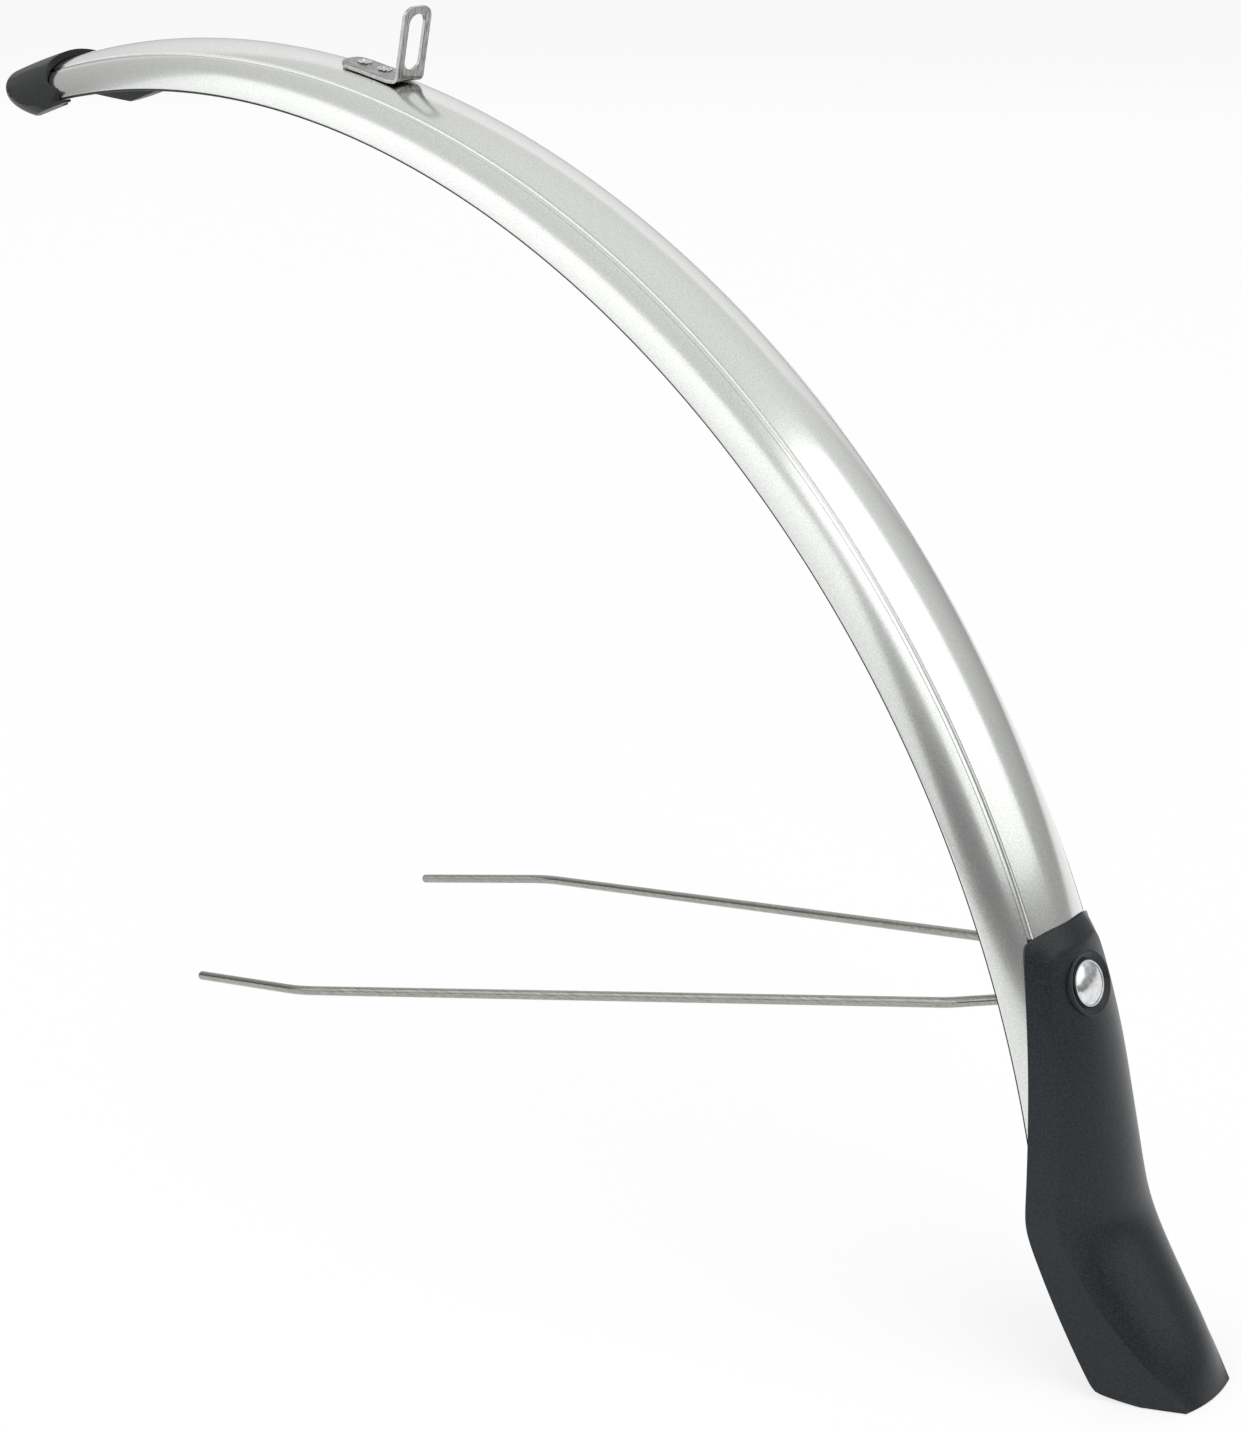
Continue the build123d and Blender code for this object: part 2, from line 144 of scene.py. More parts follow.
def apply(piece, kind, **settings):
    """Adds a modifier with these settings and applies it."""
    modifier = piece.modifiers.new(kind.lower(), kind)
    for setting, value in settings.items():
        setattr(modifier, setting, value)
    choose(piece)
    bpy.ops.object.modifier_apply(modifier=modifier.name)


def smooth(piece, angle):
    """Shades a piece smooth, apart from edges that turn by more than this angle in degrees."""
    choose(piece)
    bpy.ops.object.shade_smooth_by_angle(angle=radians(angle))


rear_out = radial(blade_rear)
bpy.ops.object.select_all(action="DESELECT")
bpy.ops.mesh.primitive_circle_add(
    vertices=section_points,
    radius=section_radius,
    location=wheel + rear_out * section_centre,
    rotation=across(blade_rear),
)
blade = bpy.context.object
blade.name = "silver_blade"
bpy.ops.object.transform_apply(location=True, rotation=True, scale=True)
edit(blade)
bpy.ops.mesh.select_all(action="SELECT")
bpy.ops.mesh.bisect(
    plane_co=wheel + rear_out * edge_radius,
    plane_no=rear_out,
    clear_inner=True,
)
# Points close to the cut come out, because they would hold back the rounding of the edges.
pick(blade, "VERT", lambda p: hair < (p - wheel).dot(rear_out) - edge_radius < narrowest_strip)
bpy.ops.mesh.dissolve_verts()
pick(blade, "EDGE", lambda p: abs(abs(p.y) - groove_offset) < 2 * groove_half)
bpy.ops.mesh.subdivide(number_cuts=groove_cuts)
groove_angle = asin(groove_offset / section_radius)
for side in (1, -1):
    out = rear_out * cos(groove_angle) + Vector((0, side * sin(groove_angle), 0))
    bottom = wheel + rear_out * section_centre + out * section_radius
    nearest = min((v.co - bottom).length for v in bmesh.from_edit_mesh(blade.data).verts)
    pick(blade, "VERT", lambda p: (p - bottom).length < nearest + hair)
    bpy.ops.transform.translate(
        value=-out * groove_depth,
        use_proportional_edit=True,
        proportional_edit_falloff="SPHERE",
        proportional_size=groove_half,
    )
bpy.ops.mesh.select_all(action="SELECT")
bpy.ops.mesh.spin(
    steps=blade_steps, angle=blade_front - blade_rear, center=wheel, axis=(0, 1, 0)
)
close_edit()
face_out(blade, lambda p: p.z, Vector((0, 0, 1)))


def new_material(name, settings):
    """A node material with these plain values on its shader, and the object's coordinates."""
    material = bpy.data.materials.new(name)
    material.use_nodes = True
    tree = material.node_tree
    shader = tree.nodes["Principled BSDF"]
    for socket, value in settings.items():
        shader.inputs[socket].default_value = value
    place = tree.nodes.new("ShaderNodeTexCoord")
    return material, tree, shader, place.outputs["Object"]


def noise(tree, place, scale, detail=2.0, roughness=0.5):
    node = tree.nodes.new("ShaderNodeTexNoise")
    node.inputs["Scale"].default_value = scale
    node.inputs["Detail"].default_value = detail
    node.inputs["Roughness"].default_value = roughness
    tree.links.new(place, node.inputs["Vector"])
    return node.outputs["Fac"]


def ramp(tree, value, *stops):
    """A colour ramp whose first two stops are its ends."""
    node = tree.nodes.new("ShaderNodeValToRGB")
    for element, (position, colour) in zip(node.color_ramp.elements, stops):
        element.position = position
        element.color = (*colour, 1)
    for position, colour in stops[2:]:
        node.color_ramp.elements.new(position).color = (*colour, 1)
    tree.links.new(value, node.inputs["Fac"])
    return node.outputs["Color"]


def tint(tree, shader, mask, dark, light, low=0.3, high=0.7):
    """Colours the surface from dark, at the mask's low value, to light, at its high one."""
    colour = ramp(tree, mask, (low, dark), (high, light))
    tree.links.new(colour, shader.inputs["Base Color"])


def polish(tree, shader, mask, finest, coarsest):
    """Lets the roughness follow the mask between two values."""
    node = tree.nodes.new("ShaderNodeMapRange")
    node.inputs["To Min"].default_value = finest
    node.inputs["To Max"].default_value = coarsest
    tree.links.new(mask, node.inputs["Value"])
    tree.links.new(node.outputs["Result"], shader.inputs["Roughness"])


def dress(piece, *materials):
    piece.data.materials.clear()
    for material in materials:
        piece.data.materials.append(material)


silver, tree, shader, place = new_material(
    "silver_sheet_lacquered", {"Metallic": 1.0, "Coat Weight": 1.0, "Coat Roughness": 0.04}
)
flake = noise(tree, place, 2100, roughness=0.6)
tint(tree, shader, flake, (0.655, 0.668, 0.650), (0.815, 0.832, 0.808))
polish(tree, shader, noise(tree, place, 40), 0.17, 0.23)
core, tree, shader, place = new_material("sheet_core_grey", {"Specular IOR Level": 0.3})
speck = noise(tree, place, 900)
tint(tree, shader, speck, (0.014, 0.016, 0.016), (0.030, 0.033, 0.032))
polish(tree, shader, speck, 0.45, 0.6)
dress(blade, silver, core)
core_slot = 1
apply(blade, "SOLIDIFY", thickness=sheet, offset=-1, material_offset_rim=core_slot)
free_edge = max(v.co.y for v in blade.data.vertices)
edit(blade)
pick(blade, "EDGE", lambda p: abs(p.y) > free_edge - near)
bpy.ops.mesh.bevel(offset=edge_round, segments=3, material=core_slot, clamp_overlap=True)
close_edit()
smooth(blade, 50)
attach(blade, "root")
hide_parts("guard_blade")

# Front tip cap: a black moulded cap with a grained skin, pushed over the blade's front end, where
# two walls grip the sheet. It comes from the mould with all its edges a little rounded.
cap_round = 0.0003
cap_grain = 1250
grain_height = 0.0001


def carry(node, name):
    """A copy of a solid's mesh as a new piece, its loose triangles joined to one skin."""
    piece = nodes[node].copy()
    piece.data = nodes[node].data.copy()
    piece.name = name
    for mark in list(piece.keys()):
        del piece[mark]
    bpy.context.scene.collection.objects.link(piece)
    edit(piece)
    bpy.ops.mesh.select_all(action="SELECT")
    bpy.ops.mesh.remove_doubles(threshold=hair)
    bpy.ops.mesh.normals_make_consistent(inside=False)
    close_edit()
    return piece


def round_edges(piece, width, segments, above):
    """Rounds the edges that turn by more than this angle in degrees."""
    limit = radians(above)
    apply(piece, "BEVEL", width=width, segments=segments, limit_method="ANGLE", angle_limit=limit)


cap = carry("front_tip_cap", "tip_cap")
apply(cap, "DECIMATE", decimate_type="DISSOLVE", angle_limit=radians(0.5))
round_edges(cap, cap_round, segments=3, above=40)
smooth(cap, 35)


def new_group(name, *masks):
    """A node group that takes a place and a scale and puts out these masks."""
    group = bpy.data.node_groups.new(name, "ShaderNodeTree")
    group.interface.new_socket("Place", in_out="INPUT", socket_type="NodeSocketVector")
    group.interface.new_socket("Scale", in_out="INPUT", socket_type="NodeSocketFloat")
    for mask in masks:
        group.interface.new_socket(mask, in_out="OUTPUT", socket_type="NodeSocketFloat")
    inside = group.nodes.new("NodeGroupInput")
    outside = group.nodes.new("NodeGroupOutput")
    return group, inside.outputs, outside.inputs


def use_group(tree, group, place, scale):
    node = tree.nodes.new("ShaderNodeGroup")
    node.node_tree = group
    node.inputs["Scale"].default_value = scale
    tree.links.new(place, node.inputs["Place"])
    return node.outputs


def bump(tree, shader, height, strength, distance):
    node = tree.nodes.new("ShaderNodeBump")
    node.inputs["Strength"].default_value = strength
    node.inputs["Distance"].default_value = distance
    tree.links.new(height, node.inputs["Height"])
    tree.links.new(node.outputs["Normal"], shader.inputs["Normal"])


moulded, given, masks = new_group("moulded_grain", "Grain", "Cloud")
pits = noise(moulded, given["Place"], 1.0, roughness=0.6)
moulded.links.new(given["Scale"], pits.node.inputs["Scale"])
moulded.links.new(pits, masks["Grain"])
moulded.links.new(noise(moulded, given["Place"], 60), masks["Cloud"])
cap_black, tree, shader, place = new_material("cap_satin_black", {"Specular IOR Level": 0.25})
skin = use_group(tree, moulded, place, cap_grain)
tint(tree, shader, skin["Grain"], (0.0075, 0.0095, 0.0090), (0.0205, 0.0245, 0.0230))
polish(tree, shader, skin["Cloud"], 0.34, 0.44)
bump(tree, shader, skin["Grain"], 0.35, grain_height)
dress(cap, cap_black)
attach(cap, "root")
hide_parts("front_tip_cap")

# Fork bracket: a strip of zinc plated steel, folded to an L, with rounded corners and a punched
# slot for the bolt at the fork's crown. Its base is curved to the blade's crown, where two rivets
# hold it. Its cut edges are coloured brighter than its faces, a painted highlight along the edges.
bracket_angle = radians(81.22)
bracket_width = 0.012
base_length = 0.0276
upright_height = 0.025
upright_lean = radians(3.9)
plate = 0.0013
plate_corner = 0.0038
plate_round = 0.00022
base_strips = 10
fold_radius = 0.0023
fold_run = 0.93 * fold_radius
flat_heel = 0.005
slot_width = 0.007
slot_length = 0.0184
slot_height = 0.0134
slot_points = 48
skin_gap = 0.0003
forward = Vector((-sin(bracket_angle), 0, cos(bracket_angle)))
outward = radial(bracket_angle)


def axes_at(origin, x_axis, y_axis, z_axis):
    """The matrix that takes the workbench's origin and axes to this place."""
    matrix = Matrix((x_axis, y_axis, z_axis)).transposed().to_4x4()
    matrix.translation = origin
    return matrix


def settle(piece, matrix):
    """Moves a piece from the workbench to its place and leaves that place in its mesh."""
    piece.matrix_world = matrix
    choose(piece)
    bpy.ops.object.transform_apply(location=True, rotation=True, scale=True)


def stretched(tree, place, scale):
    node = tree.nodes.new("ShaderNodeMapping")
    node.inputs["Scale"].default_value = scale
    tree.links.new(place, node.inputs["Vector"])
    return node.outputs["Vector"]


seat = wheel + outward * (crown_radius + skin_gap)
bench = axes_at(seat, forward, outward.cross(forward), outward)
back = -base_length / 2
rise = Vector((-sin(upright_lean), 0, cos(upright_lean)))
through = Vector((cos(upright_lean), 0, sin(upright_lean)))
bpy.ops.object.select_all(action="DESELECT")
bpy.ops.mesh.primitive_plane_add(size=1)
bracket = bpy.context.object
bracket.name = "folded_bracket"
edit(bracket)
bpy.ops.transform.resize(value=(base_length, bracket_width, 1))
pick(bracket, "EDGE", lambda p: p.x < back + near)
bpy.ops.mesh.extrude_edges_move(TRANSFORM_OT_translate={"value": rise * upright_height})
pick(bracket, "VERT", lambda p: p.x > -back - near or p.z > upright_height / 2)
bpy.ops.mesh.bevel(offset=plate_corner, segments=7, affect="VERTICES")
for strip in range(1, base_strips):
    cut = (strip / base_strips - 0.5) * bracket_width
    bpy.ops.mesh.select_all(action="SELECT")
    bpy.ops.mesh.bisect(plane_co=(0, cut, 0), plane_no=(0, 1, 0))
bpy.ops.mesh.select_all(action="SELECT")
bpy.ops.mesh.bisect(plane_co=(back + flat_heel, 0, 0), plane_no=(1, 0, 0))
levels = sorted({round(v.co.y, 5) for v in bmesh.from_edit_mesh(bracket.data).verts})
for level in levels:
    pick(
        bracket,
        "VERT",
        lambda p: abs(p.y - level) < near
        and p.x > back + flat_heel - near
        and p.z < plate,
    )
    bpy.ops.transform.translate(value=(0, 0, -(level**2) / 2 / section_radius))
pick(bracket, "EDGE", lambda p: abs(p.x - back) < near and abs(p.z) < near)
bpy.ops.mesh.bevel(offset=fold_run, segments=6, affect="EDGES")
close_edit()
face_out(bracket, lambda p: -p.length, Vector((0, 0, -1)))

mottled, given, masks = new_group("zinc_mottle", "Mottle")
blots = noise(mottled, given["Place"], 1.0, detail=3.0, roughness=0.6)
mottled.links.new(given["Scale"], blots.node.inputs["Scale"])
mottled.links.new(blots, masks["Mottle"])
zinc, tree, shader, place = new_material("zinc_plate", {"Metallic": 1.0})
mottle = use_group(tree, mottled, place, 420)["Mottle"]
streak = noise(tree, stretched(tree, place, (1, 9, 1)), 260, roughness=0.6)
tint(tree, shader, streak, (0.15, 0.155, 0.15), (0.46, 0.468, 0.455))
polish(tree, shader, mottle, 0.14, 0.30)
bump(tree, shader, mottle, 0.12, grain_height)
# Painted highlight: the cut edges get a brighter zinc colour than the faces.
edge_highlight, tree, shader, place = new_material("zinc_edge_painted_highlight", {"Metallic": 1.0})
mottle = use_group(tree, mottled, place, 700)["Mottle"]
tint(tree, shader, mottle, (0.44, 0.446, 0.435), (0.66, 0.668, 0.655))
polish(tree, shader, mottle, 0.18, 0.30)
dress(bracket, zinc, edge_highlight)
highlight_slot = 1
apply(
    bracket,
    "SOLIDIFY",
    thickness=plate,
    offset=-1,
    use_even_offset=True,
    material_offset_rim=highlight_slot,
)

bpy.ops.object.select_all(action="DESELECT")
bpy.ops.mesh.primitive_circle_add(
    vertices=slot_points, radius=slot_width / 2, fill_type="NGON"
)
punch = bpy.context.object
punch_depth = 6 * plate
half_run = (slot_length - slot_width) / 2
edit(punch)
for side in (1, -1):
    pick(punch, "VERT", lambda p: side * p.y > hair)
    bpy.ops.transform.translate(value=(0, side * half_run, 0))
bpy.ops.mesh.select_all(action="SELECT")
bpy.ops.mesh.extrude_region_move(TRANSFORM_OT_translate={"value": (0, 0, punch_depth)})
bpy.ops.mesh.select_all(action="SELECT")
bpy.ops.mesh.normals_make_consistent(inside=False)
close_edit()
punch_start = Vector((back, 0, 0)) + rise * slot_height - through * punch_depth / 2
dress(punch, edge_highlight)
settle(punch, axes_at(punch_start, rise.cross(through), rise, through))
apply(bracket, "BOOLEAN", operation="DIFFERENCE", object=punch, solver="EXACT")
bpy.data.objects.remove(punch)
round_edges(bracket, plate_round, segments=3, above=50)
settle(bracket, bench)
smooth(bracket, 40)
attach(bracket, "root")
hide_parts("fork_bracket")

# Bracket rivets: two hollow rivets of plated steel. The flat heads lie inside the blade, and the
# tubes come up through both sheets, where the riveting tool splits and rolls their ends flat.
rivet_first = 0.0116
rivet_spacing = 0.0095
rivet_turns = (14, 34)
rivet_points = 32
rivet_round = 0.0001
head_top = -0.00190
flare_foot = plate + 0.00002
flare_top = plate + 0.0006
# Height above the blade's crown and radius, from the head's middle round to the bore.
rivet_line = (
    (head_top - 0.0010, 0.0031),
    (head_top - 0.0006, 0.0035),
    (head_top, 0.0035),
    (head_top, 0.0016),
    (flare_foot, 0.0016),
    (flare_foot, 0.0025),
    (plate + 0.0003, 0.0025),
    (flare_top, 0.0021),
    (flare_top, 0.0015),
    (plate, 0.0010),
    (head_top, 0.0010),
)
petals = 8
petal_start = 0.0018
petal_nick = 0.72
split_cosine = 0.995
height, radius = rivet_line[0]
bpy.ops.object.select_all(action="DESELECT")
bpy.ops.mesh.primitive_circle_add(
    vertices=rivet_points, radius=radius, fill_type="NGON", location=(0, 0, height)
)
rivet = bpy.context.object
bpy.ops.object.transform_apply(location=True, rotation=True, scale=True)
edit(rivet)
bpy.ops.mesh.select_all(action="SELECT")
for next_height, next_radius in rivet_line[1:]:
    step = (0, 0, next_height - height)
    scale = next_radius / radius
    bpy.ops.mesh.extrude_region_move(TRANSFORM_OT_translate={"value": step})
    bpy.ops.transform.resize(value=(scale, scale, 1), center_override=(0, 0, next_height))
    height, radius = next_height, next_radius
for petal in range(petals):
    turn = 2 * pi * petal / petals
    split = Vector((cos(turn), sin(turn)))
    pick(
        rivet,
        "VERT",
        lambda p: p.z > plate
        and p.xy.length > petal_start
        and p.xy.normalized().dot(split) > split_cosine,
    )
    bpy.ops.transform.resize(value=(petal_nick, petal_nick, 1), center_override=(0, 0, plate))
bpy.ops.mesh.select_all(action="SELECT")
bpy.ops.mesh.normals_make_consistent(inside=False)
close_edit()
round_edges(rivet, rivet_round, segments=2, above=35)
second = rivet.copy()
second.data = rivet.data.copy()
bpy.context.scene.collection.objects.link(second)
for number, piece in enumerate((rivet, second)):
    spot = Matrix.Translation((back + rivet_first + rivet_spacing * number, 0, 0))
    turn = Matrix.Rotation(radians(rivet_turns[number]), 4, "Z")
    settle(piece, bench @ spot @ turn)
choose(rivet, second)
bpy.ops.object.join()
rivets = bpy.context.object
rivets.name = "split_rivets"
smooth(rivets, 40)
bright_zinc, tree, shader, place = new_material("rivet_zinc", {"Metallic": 1.0})
mottle = use_group(tree, mottled, place, 900)["Mottle"]
tint(tree, shader, mottle, (0.42, 0.425, 0.42), (0.74, 0.745, 0.74))
polish(tree, shader, mottle, 0.14, 0.28)
dress(rivets, bright_zinc)
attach(rivets, "root")
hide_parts("bracket_rivets")

# Stay eye and screw: a plated steel block inside the blade, drilled across for the wire, and the
# flat screw that comes through the flap and the blade and clamps the wire in it.
for name in ("stay_eye", "stay_screw"):
    dress(nodes[name], bright_zinc)

# Stay wire: one round steel wire, drawn bright, bent cold to its shape and held in the eye inside
# the blade. Its two legs run to the fork's ends, and fine drawing lines run along them.
drawn_line = 0.00005
steel, tree, shader, place = new_material("stay_drawn_steel", {"Metallic": 1.0})
streak = noise(tree, stretched(tree, place, (0.03, 1, 1)), 2600, detail=3.0, roughness=0.6)
tint(tree, shader, streak, (0.235, 0.232, 0.215), (0.475, 0.468, 0.440), low=0.25, high=0.75)
polish(tree, shader, noise(tree, place, 90), 0.09, 0.16)
bump(tree, shader, streak, 0.08, drawn_line)
dress(nodes["stay_wire"], steel)

# Mud flap: one moulding of soft black plastic with a fine matt grain. It lies on the blade's rear
# end under the badge's screw, kinks below the blade and flares out towards the road. Its top edge
# is bevelled and thin, and a round seat for the badge is sunk into it.
flap_skin = 0.0015
flap_wall = 0.0013
flap_fill = 0.0002
flap_round = 0.0002
flap_grain = 1550
flap_top = radians(23.2)
top_roll = 0.0012
bevel_length = 0.0064
kink_height = 0.057
rim_top, rim_kink = 0.0096, -0.0034
ridge_top, ridge_kink = 0.0146, 0.0056
side_rim = 0.0006
side_bulge = 0.0005
foot_lift = 0.22
foot_crease = 0.4
foot_clear = 0.0002
rim_share, second_share, top_share = 0.45, 0.8, 0.35
flap_levels = 4
blank_size = 0.1
flap_radius = section_radius + skin_gap
flap_outer = flap_radius + flap_skin
kink = asin(kink_height / (edge_radius + rim_kink))


def arc(ridge, crown, steps=3):
    """Points from the ridge up to the crown, on the circle through both ridges and the crown."""
    rise = crown.x - ridge.x
    radius = (rise**2 + ridge.y**2) / (2 * rise)
    reach = atan2(ridge.y, ridge.x - crown.x + radius)
    ways = [reach * (steps - step) / steps for step in range(steps + 1)]
    return [Vector((crown.x - radius + radius * cos(way), radius * sin(way), 0)) for way in ways]


def upper_row(angle, rim_wall, wall, ridge_rise, narrow, level=None):
    """One row across the blade: x away from the wheel, y to the side."""
    way = (angle - kink) / (flap_top - kink)
    rim_reach = edge_radius + rim_kink + (rim_top - rim_kink) * way
    ridge_reach = edge_radius + ridge_kink + (ridge_top - ridge_kink) * way
    rim = acos((rim_reach - section_centre) / flap_radius) - narrow / flap_radius
    ridge = acos((ridge_reach - section_centre) / flap_outer) - narrow / flap_radius
    spots = []
    for radius, phi in ((flap_radius + rim_wall, rim), (flap_radius + wall + ridge_rise, ridge)):
        spots.append(Vector((section_centre + radius * cos(phi), radius * sin(phi), 0)))
    top = Vector((section_centre + flap_radius + wall, 0, 0))
    row = [spots[0], (spots[0] + spots[1]) / 2] + arc(spots[1], top)
    if level is None:
        return [radial(angle) * p.x + Vector((0, p.y, 0)) for p in row]
    return [Vector(((p.x**2 - level**2) ** 0.5, p.y, level)) for p in row]


def on_level(height, wall):
    """An upper row laid level, so that it meets the level rows below the kink."""
    return upper_row(asin(height / (edge_radius + rim_kink)), side_rim, wall, 0, 0, height)


def lower_row(height, steps, widths):
    """One level row below the kink: rim, bulging side, ridge and crown."""
    rim = Vector((edge_radius + steps[0], widths[0], 0))
    ridge = Vector((rim.x + steps[1], widths[1], 0))
    top = Vector((ridge.x + steps[2], 0, 0))
    side = ridge - rim
    swell = Vector((-side.y, side.x, 0)).normalized() * side_bulge
    row = [rim, (rim + ridge) / 2 + swell] + arc(ridge, top)
    return [Vector((p.x, p.y, height)) for p in row]


body = flap_skin + flap_fill
roll_start = flap_top - top_roll / crown_radius
bevel_start = flap_top - bevel_length / crown_radius
to_kink = kink - bevel_start
# Upper rows: angle, wall at the rim and at the crown, rise of the ridge, narrowing. Lower rows:
# height, steps outwards to rim, ridge and crown, half widths at rim and ridge.
rows = [
    upper_row(flap_top, 0.0005, 0.0005, 0, 0.0014),
    upper_row(roll_start, 0.0007, 0.0011, 0, 0.0002),
    upper_row(bevel_start, 0.0007, body + 0.0006, 0.0005, 0),
    upper_row(bevel_start + to_kink * 0.28, side_rim, body + 0.0005, 0.00036, 0),
    upper_row(bevel_start + to_kink * 0.56, side_rim, body + 0.0007, 0.00022, 0),
    on_level(0.066, body + 0.0013),
    on_level(kink_height, body + 0.0022),
    lower_row(0.048, (-0.0042, 0.0112, 0.0144), (0.0244, 0.0214)),
    lower_row(0.034, (0.0036, 0.0138, 0.0142), (0.0244, 0.0199)),
    lower_row(0.020, (0.0124, 0.0204, 0.0088), (0.0242, 0.0163)),
    lower_row(0.0082, (0.0204, 0.0234, 0.0015), (0.0235, 0.0120)),
]
ridge_column = 2
bevel_line = 2
kink_line = 6
arch = (0.0004, 0.0010, 0.0014, 0.0015, 0.0015, 0.0014)
arch_shares = (1.0, 1.0, 1.0, 0.2)
for line, share in enumerate(arch_shares):
    ahead = Vector((-sin(flap_top), 0, cos(flap_top))) * share
    rows[line] = [spot + ahead * more for spot, more in zip(rows[line], arch)]
rows[-1][0] = rows[-1][0].lerp(rows[-2][0], foot_lift)
columns = len(rows[0])
bpy.ops.object.select_all(action="DESELECT")
bpy.ops.mesh.primitive_grid_add(
    x_subdivisions=columns - 1, y_subdivisions=len(rows) - 1, size=blank_size
)
flap = bpy.context.object
flap.name = "moulded_flap"
edit(flap)
blank = bmesh.from_edit_mesh(flap.data).verts
grid = [v.index for v in sorted(blank, key=lambda v: (round(v.co.y, 5), round(v.co.x, 5)))]
for line, row in enumerate(rows):
    for column, spot in enumerate(row):
        bpy.ops.mesh.select_all(action="DESELECT")
        mesh = bmesh.from_edit_mesh(flap.data)
        mesh.verts.ensure_lookup_table()
        vertex = mesh.verts[grid[line * columns + column]]
        vertex.select = True
        bpy.ops.transform.translate(value=wheel + spot - vertex.co)


def crease_line(chain):
    """Creases the edges between neighbours of a chain of grid places."""
    bpy.ops.mesh.select_mode(type="EDGE")
    bpy.ops.mesh.select_all(action="DESELECT")
    mesh = bmesh.from_edit_mesh(flap.data)
    mesh.verts.ensure_lookup_table()
    ends = [mesh.verts[grid[line * columns + column]] for line, column in chain]
    for one, other in zip(ends, ends[1:]):
        mesh.edges.get((one, other)).select = True
    bmesh.update_edit_mesh(flap.data)
    bpy.ops.transform.edge_crease(value=1.0)


crease_line([(line, ridge_column) for line in range(bevel_line, len(rows))])
crease_line([(bevel_line, column) for column in range(ridge_column, columns)])
foot = wheel + rows[-1][0]
pick(flap, "VERT", lambda p: (p - foot).length < near)
bpy.ops.transform.vert_crease(value=foot_crease)
close_edit()
wall = flap.vertex_groups.new(name="wall")
wall.add(grid, 1.0, "REPLACE")
wall.add([grid[line * columns] for line in range(kink_line + 1)], rim_share, "REPLACE")
wall.add(grid[columns : 2 * columns], second_share, "REPLACE")
wall.add(grid[:columns], top_share, "REPLACE")
apply(flap, "MIRROR", use_axis=(False, True, False), merge_threshold=near)
face_out(flap, lambda p: p.x, Vector((1, 0, 0)))
apply(flap, "SUBSURF", levels=flap_levels, render_levels=flap_levels)
apply(flap, "SOLIDIFY", thickness=flap_wall, offset=-1, vertex_group="wall")
edit(flap)
bpy.ops.mesh.select_all(action="SELECT")
bpy.ops.mesh.bisect(
    plane_co=(0, 0, cad_box[0].z + foot_clear),
    plane_no=(0, 0, 1),
    clear_inner=True,
    use_fill=True,
)
close_edit()

eye_angle = radians(20.45)
seat_points = 96
seat_proud = 0.0004
floor_wall = 0.0006
ring_sink = 0.0004
seat_top = section_centre + flap_outer + seat_proud
seat_floor = section_centre + flap_radius + floor_wall
seat_taper = 0.80
drill_radius = 0.0094
drill_depth = 0.008
ring_radius = 0.0098
ring_lip = 0.0009
ring_round = 0.00025
ring_low = section_centre + section_radius - ring_sink
down_blade = Vector((sin(eye_angle), 0, -cos(eye_angle)))
pocket = axes_at(wheel, down_blade, Vector((0, 1, 0)), radial(eye_angle))
bpy.ops.object.select_all(action="DESELECT")
bpy.ops.mesh.primitive_cylinder_add(
    vertices=seat_points, radius=drill_radius, depth=drill_depth, location=(0, 0, seat_top)
)
drill = bpy.context.object
settle(drill, pocket @ drill.matrix_world)
apply(flap, "BOOLEAN", operation="DIFFERENCE", object=drill, solver="EXACT")
bpy.data.objects.remove(drill)
round_edges(flap, flap_round, segments=2, above=60)

bpy.ops.object.select_all(action="DESELECT")
bpy.ops.mesh.primitive_cylinder_add(
    vertices=seat_points,
    radius=ring_radius,
    depth=seat_top - ring_low,
    location=(0, 0, (seat_top + ring_low) / 2),
)
ring = bpy.context.object
bpy.ops.object.transform_apply(location=True, rotation=True, scale=True)
edit(ring)
pick(ring, "FACE", lambda p: p.z > seat_top - hair)
bpy.ops.mesh.inset(thickness=ring_lip)
sink = (0, 0, seat_floor - seat_top)
bpy.ops.mesh.extrude_region_move(TRANSFORM_OT_translate={"value": sink})
bpy.ops.transform.resize(
    value=(seat_taper, seat_taper, 1), center_override=(0, 0, seat_floor)
)
close_edit()
round_edges(ring, ring_round, segments=3, above=30)
settle(ring, pocket)
choose(flap, ring)
bpy.ops.object.join()
smooth(flap, 22)

flap_black, tree, shader, place = new_material("flap_matt_black", {"Specular IOR Level": 0.34})
skin = use_group(tree, moulded, place, flap_grain)
tint(tree, shader, skin["Grain"], (0.0050, 0.0070, 0.0088), (0.0215, 0.0280, 0.0325))
polish(tree, shader, skin["Cloud"], 0.30, 0.36)
bump(tree, shader, skin["Grain"], 0.5, grain_height)
dress(flap, flap_black)
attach(flap, "root")
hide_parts("mud_flap")

# Badge: a plain domed disc of bright plated plastic with a narrow raised rim, pressed into the
# flap's seat over the screw.
badge_radius = 0.00685
badge_edge = 0.0010
badge_rim = 0.0005
badge_sink = 0.0002
badge_round = 0.00015
